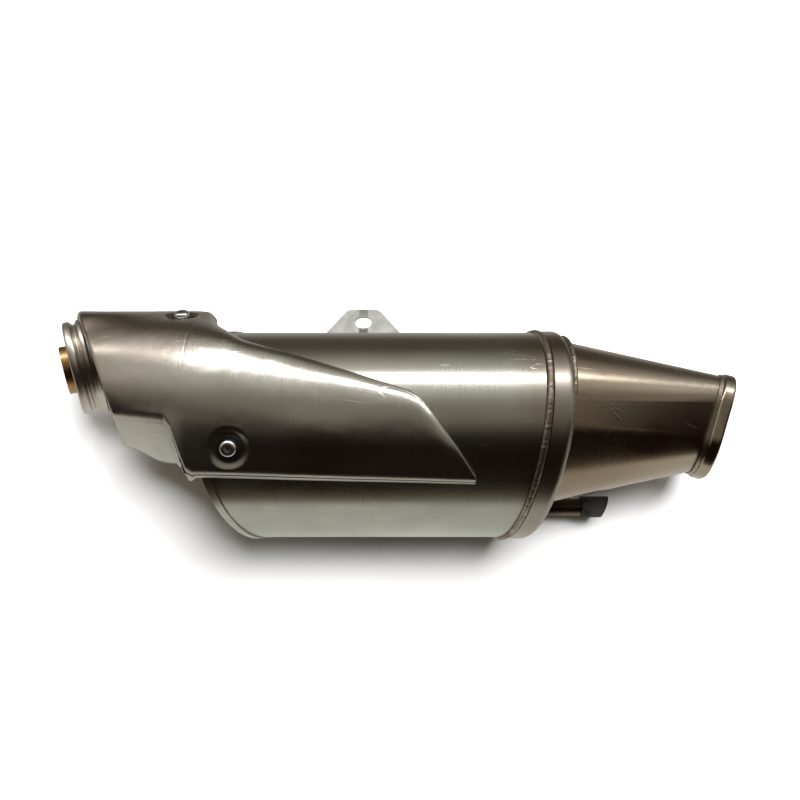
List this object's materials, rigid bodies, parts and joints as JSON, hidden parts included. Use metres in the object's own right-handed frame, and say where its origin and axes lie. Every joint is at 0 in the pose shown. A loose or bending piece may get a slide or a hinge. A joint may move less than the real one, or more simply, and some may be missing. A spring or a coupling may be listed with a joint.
{
  "type": "motorcycle exhaust muffler",
  "caption": "Motorcycle exhaust silencer: round brushed-steel can, slanted tail cone, offset inlet neck, bolted heat shield and slotted hanger bracket.",
  "frame": {"origin": "on the flat back of the can, below the can's axis", "axes": "+Y along the can from inlet to outlet, -X toward the hanger bracket (up on the machine), +Z toward the outer face with the heat shield"},
  "size_m": [0.1762, 0.4982, 0.1426],
  "materials": {
    "shell_steel": "brushed round the can, light scratches",
    "shield_steel": "brushed, heat-tinted toward the inlet",
    "band_steel": "brushed, lightly heat-browned",
    "cone_steel": "satin, heat-browned",
    "weld_metal": "rough weld bead",
    "collar_steel": "turned, lightly heat-tinted",
    "inlet_steel": "heat-tinted bronze",
    "screw_steel": "bright, dark in the recesses",
    "washer_steel": "dark",
    "seal_black": "matt black heat-proof ring",
    "bracket_steel": "matt plated sheet",
    "post_steel": "dark, worn",
    "buffer_rubber": "matt black",
    "inner_steel": "plain sheet, sooty",
    "mat_fibre": "compressed fibre"
  },
  "bodies": {
    "root": {"outer_shell": "shell_steel", "insulation_mat": "mat_fibre", "inner_shell": "inner_steel", "shell_weld": "weld_metal", "front_cap": "shell_steel", "rear_plate": "inner_steel", "rear_band": "band_steel", "tail_cone": "cone_steel", "cone_weld": "weld_metal", "outlet_weld": "weld_metal", "outlet_collar": "cone_steel", "outlet_plate": "inner_steel", "tailpipe": "inner_steel", "inlet_pipe": "inlet_steel", "inlet_collar": "collar_steel", "inlet_neck": "cone_steel", "front_baffle": "inner_steel", "middle_baffle": "inner_steel", "core_tube": "inner_steel", "crossover_tubes": "inner_steel", "heat_shield": "shield_steel", "shield_pads": "mat_fibre", "shield_screws": "screw_steel", "shield_washers": "washer_steel", "shield_rings": "seal_black", "shield_bosses": "bracket_steel", "mount_bracket": "bracket_steel", "bracket_saddle": "bracket_steel", "bracket_weld": "weld_metal", "stop_post": "post_steel", "stop_buffer": "buffer_rubber"}
  },
  "joints": []
}
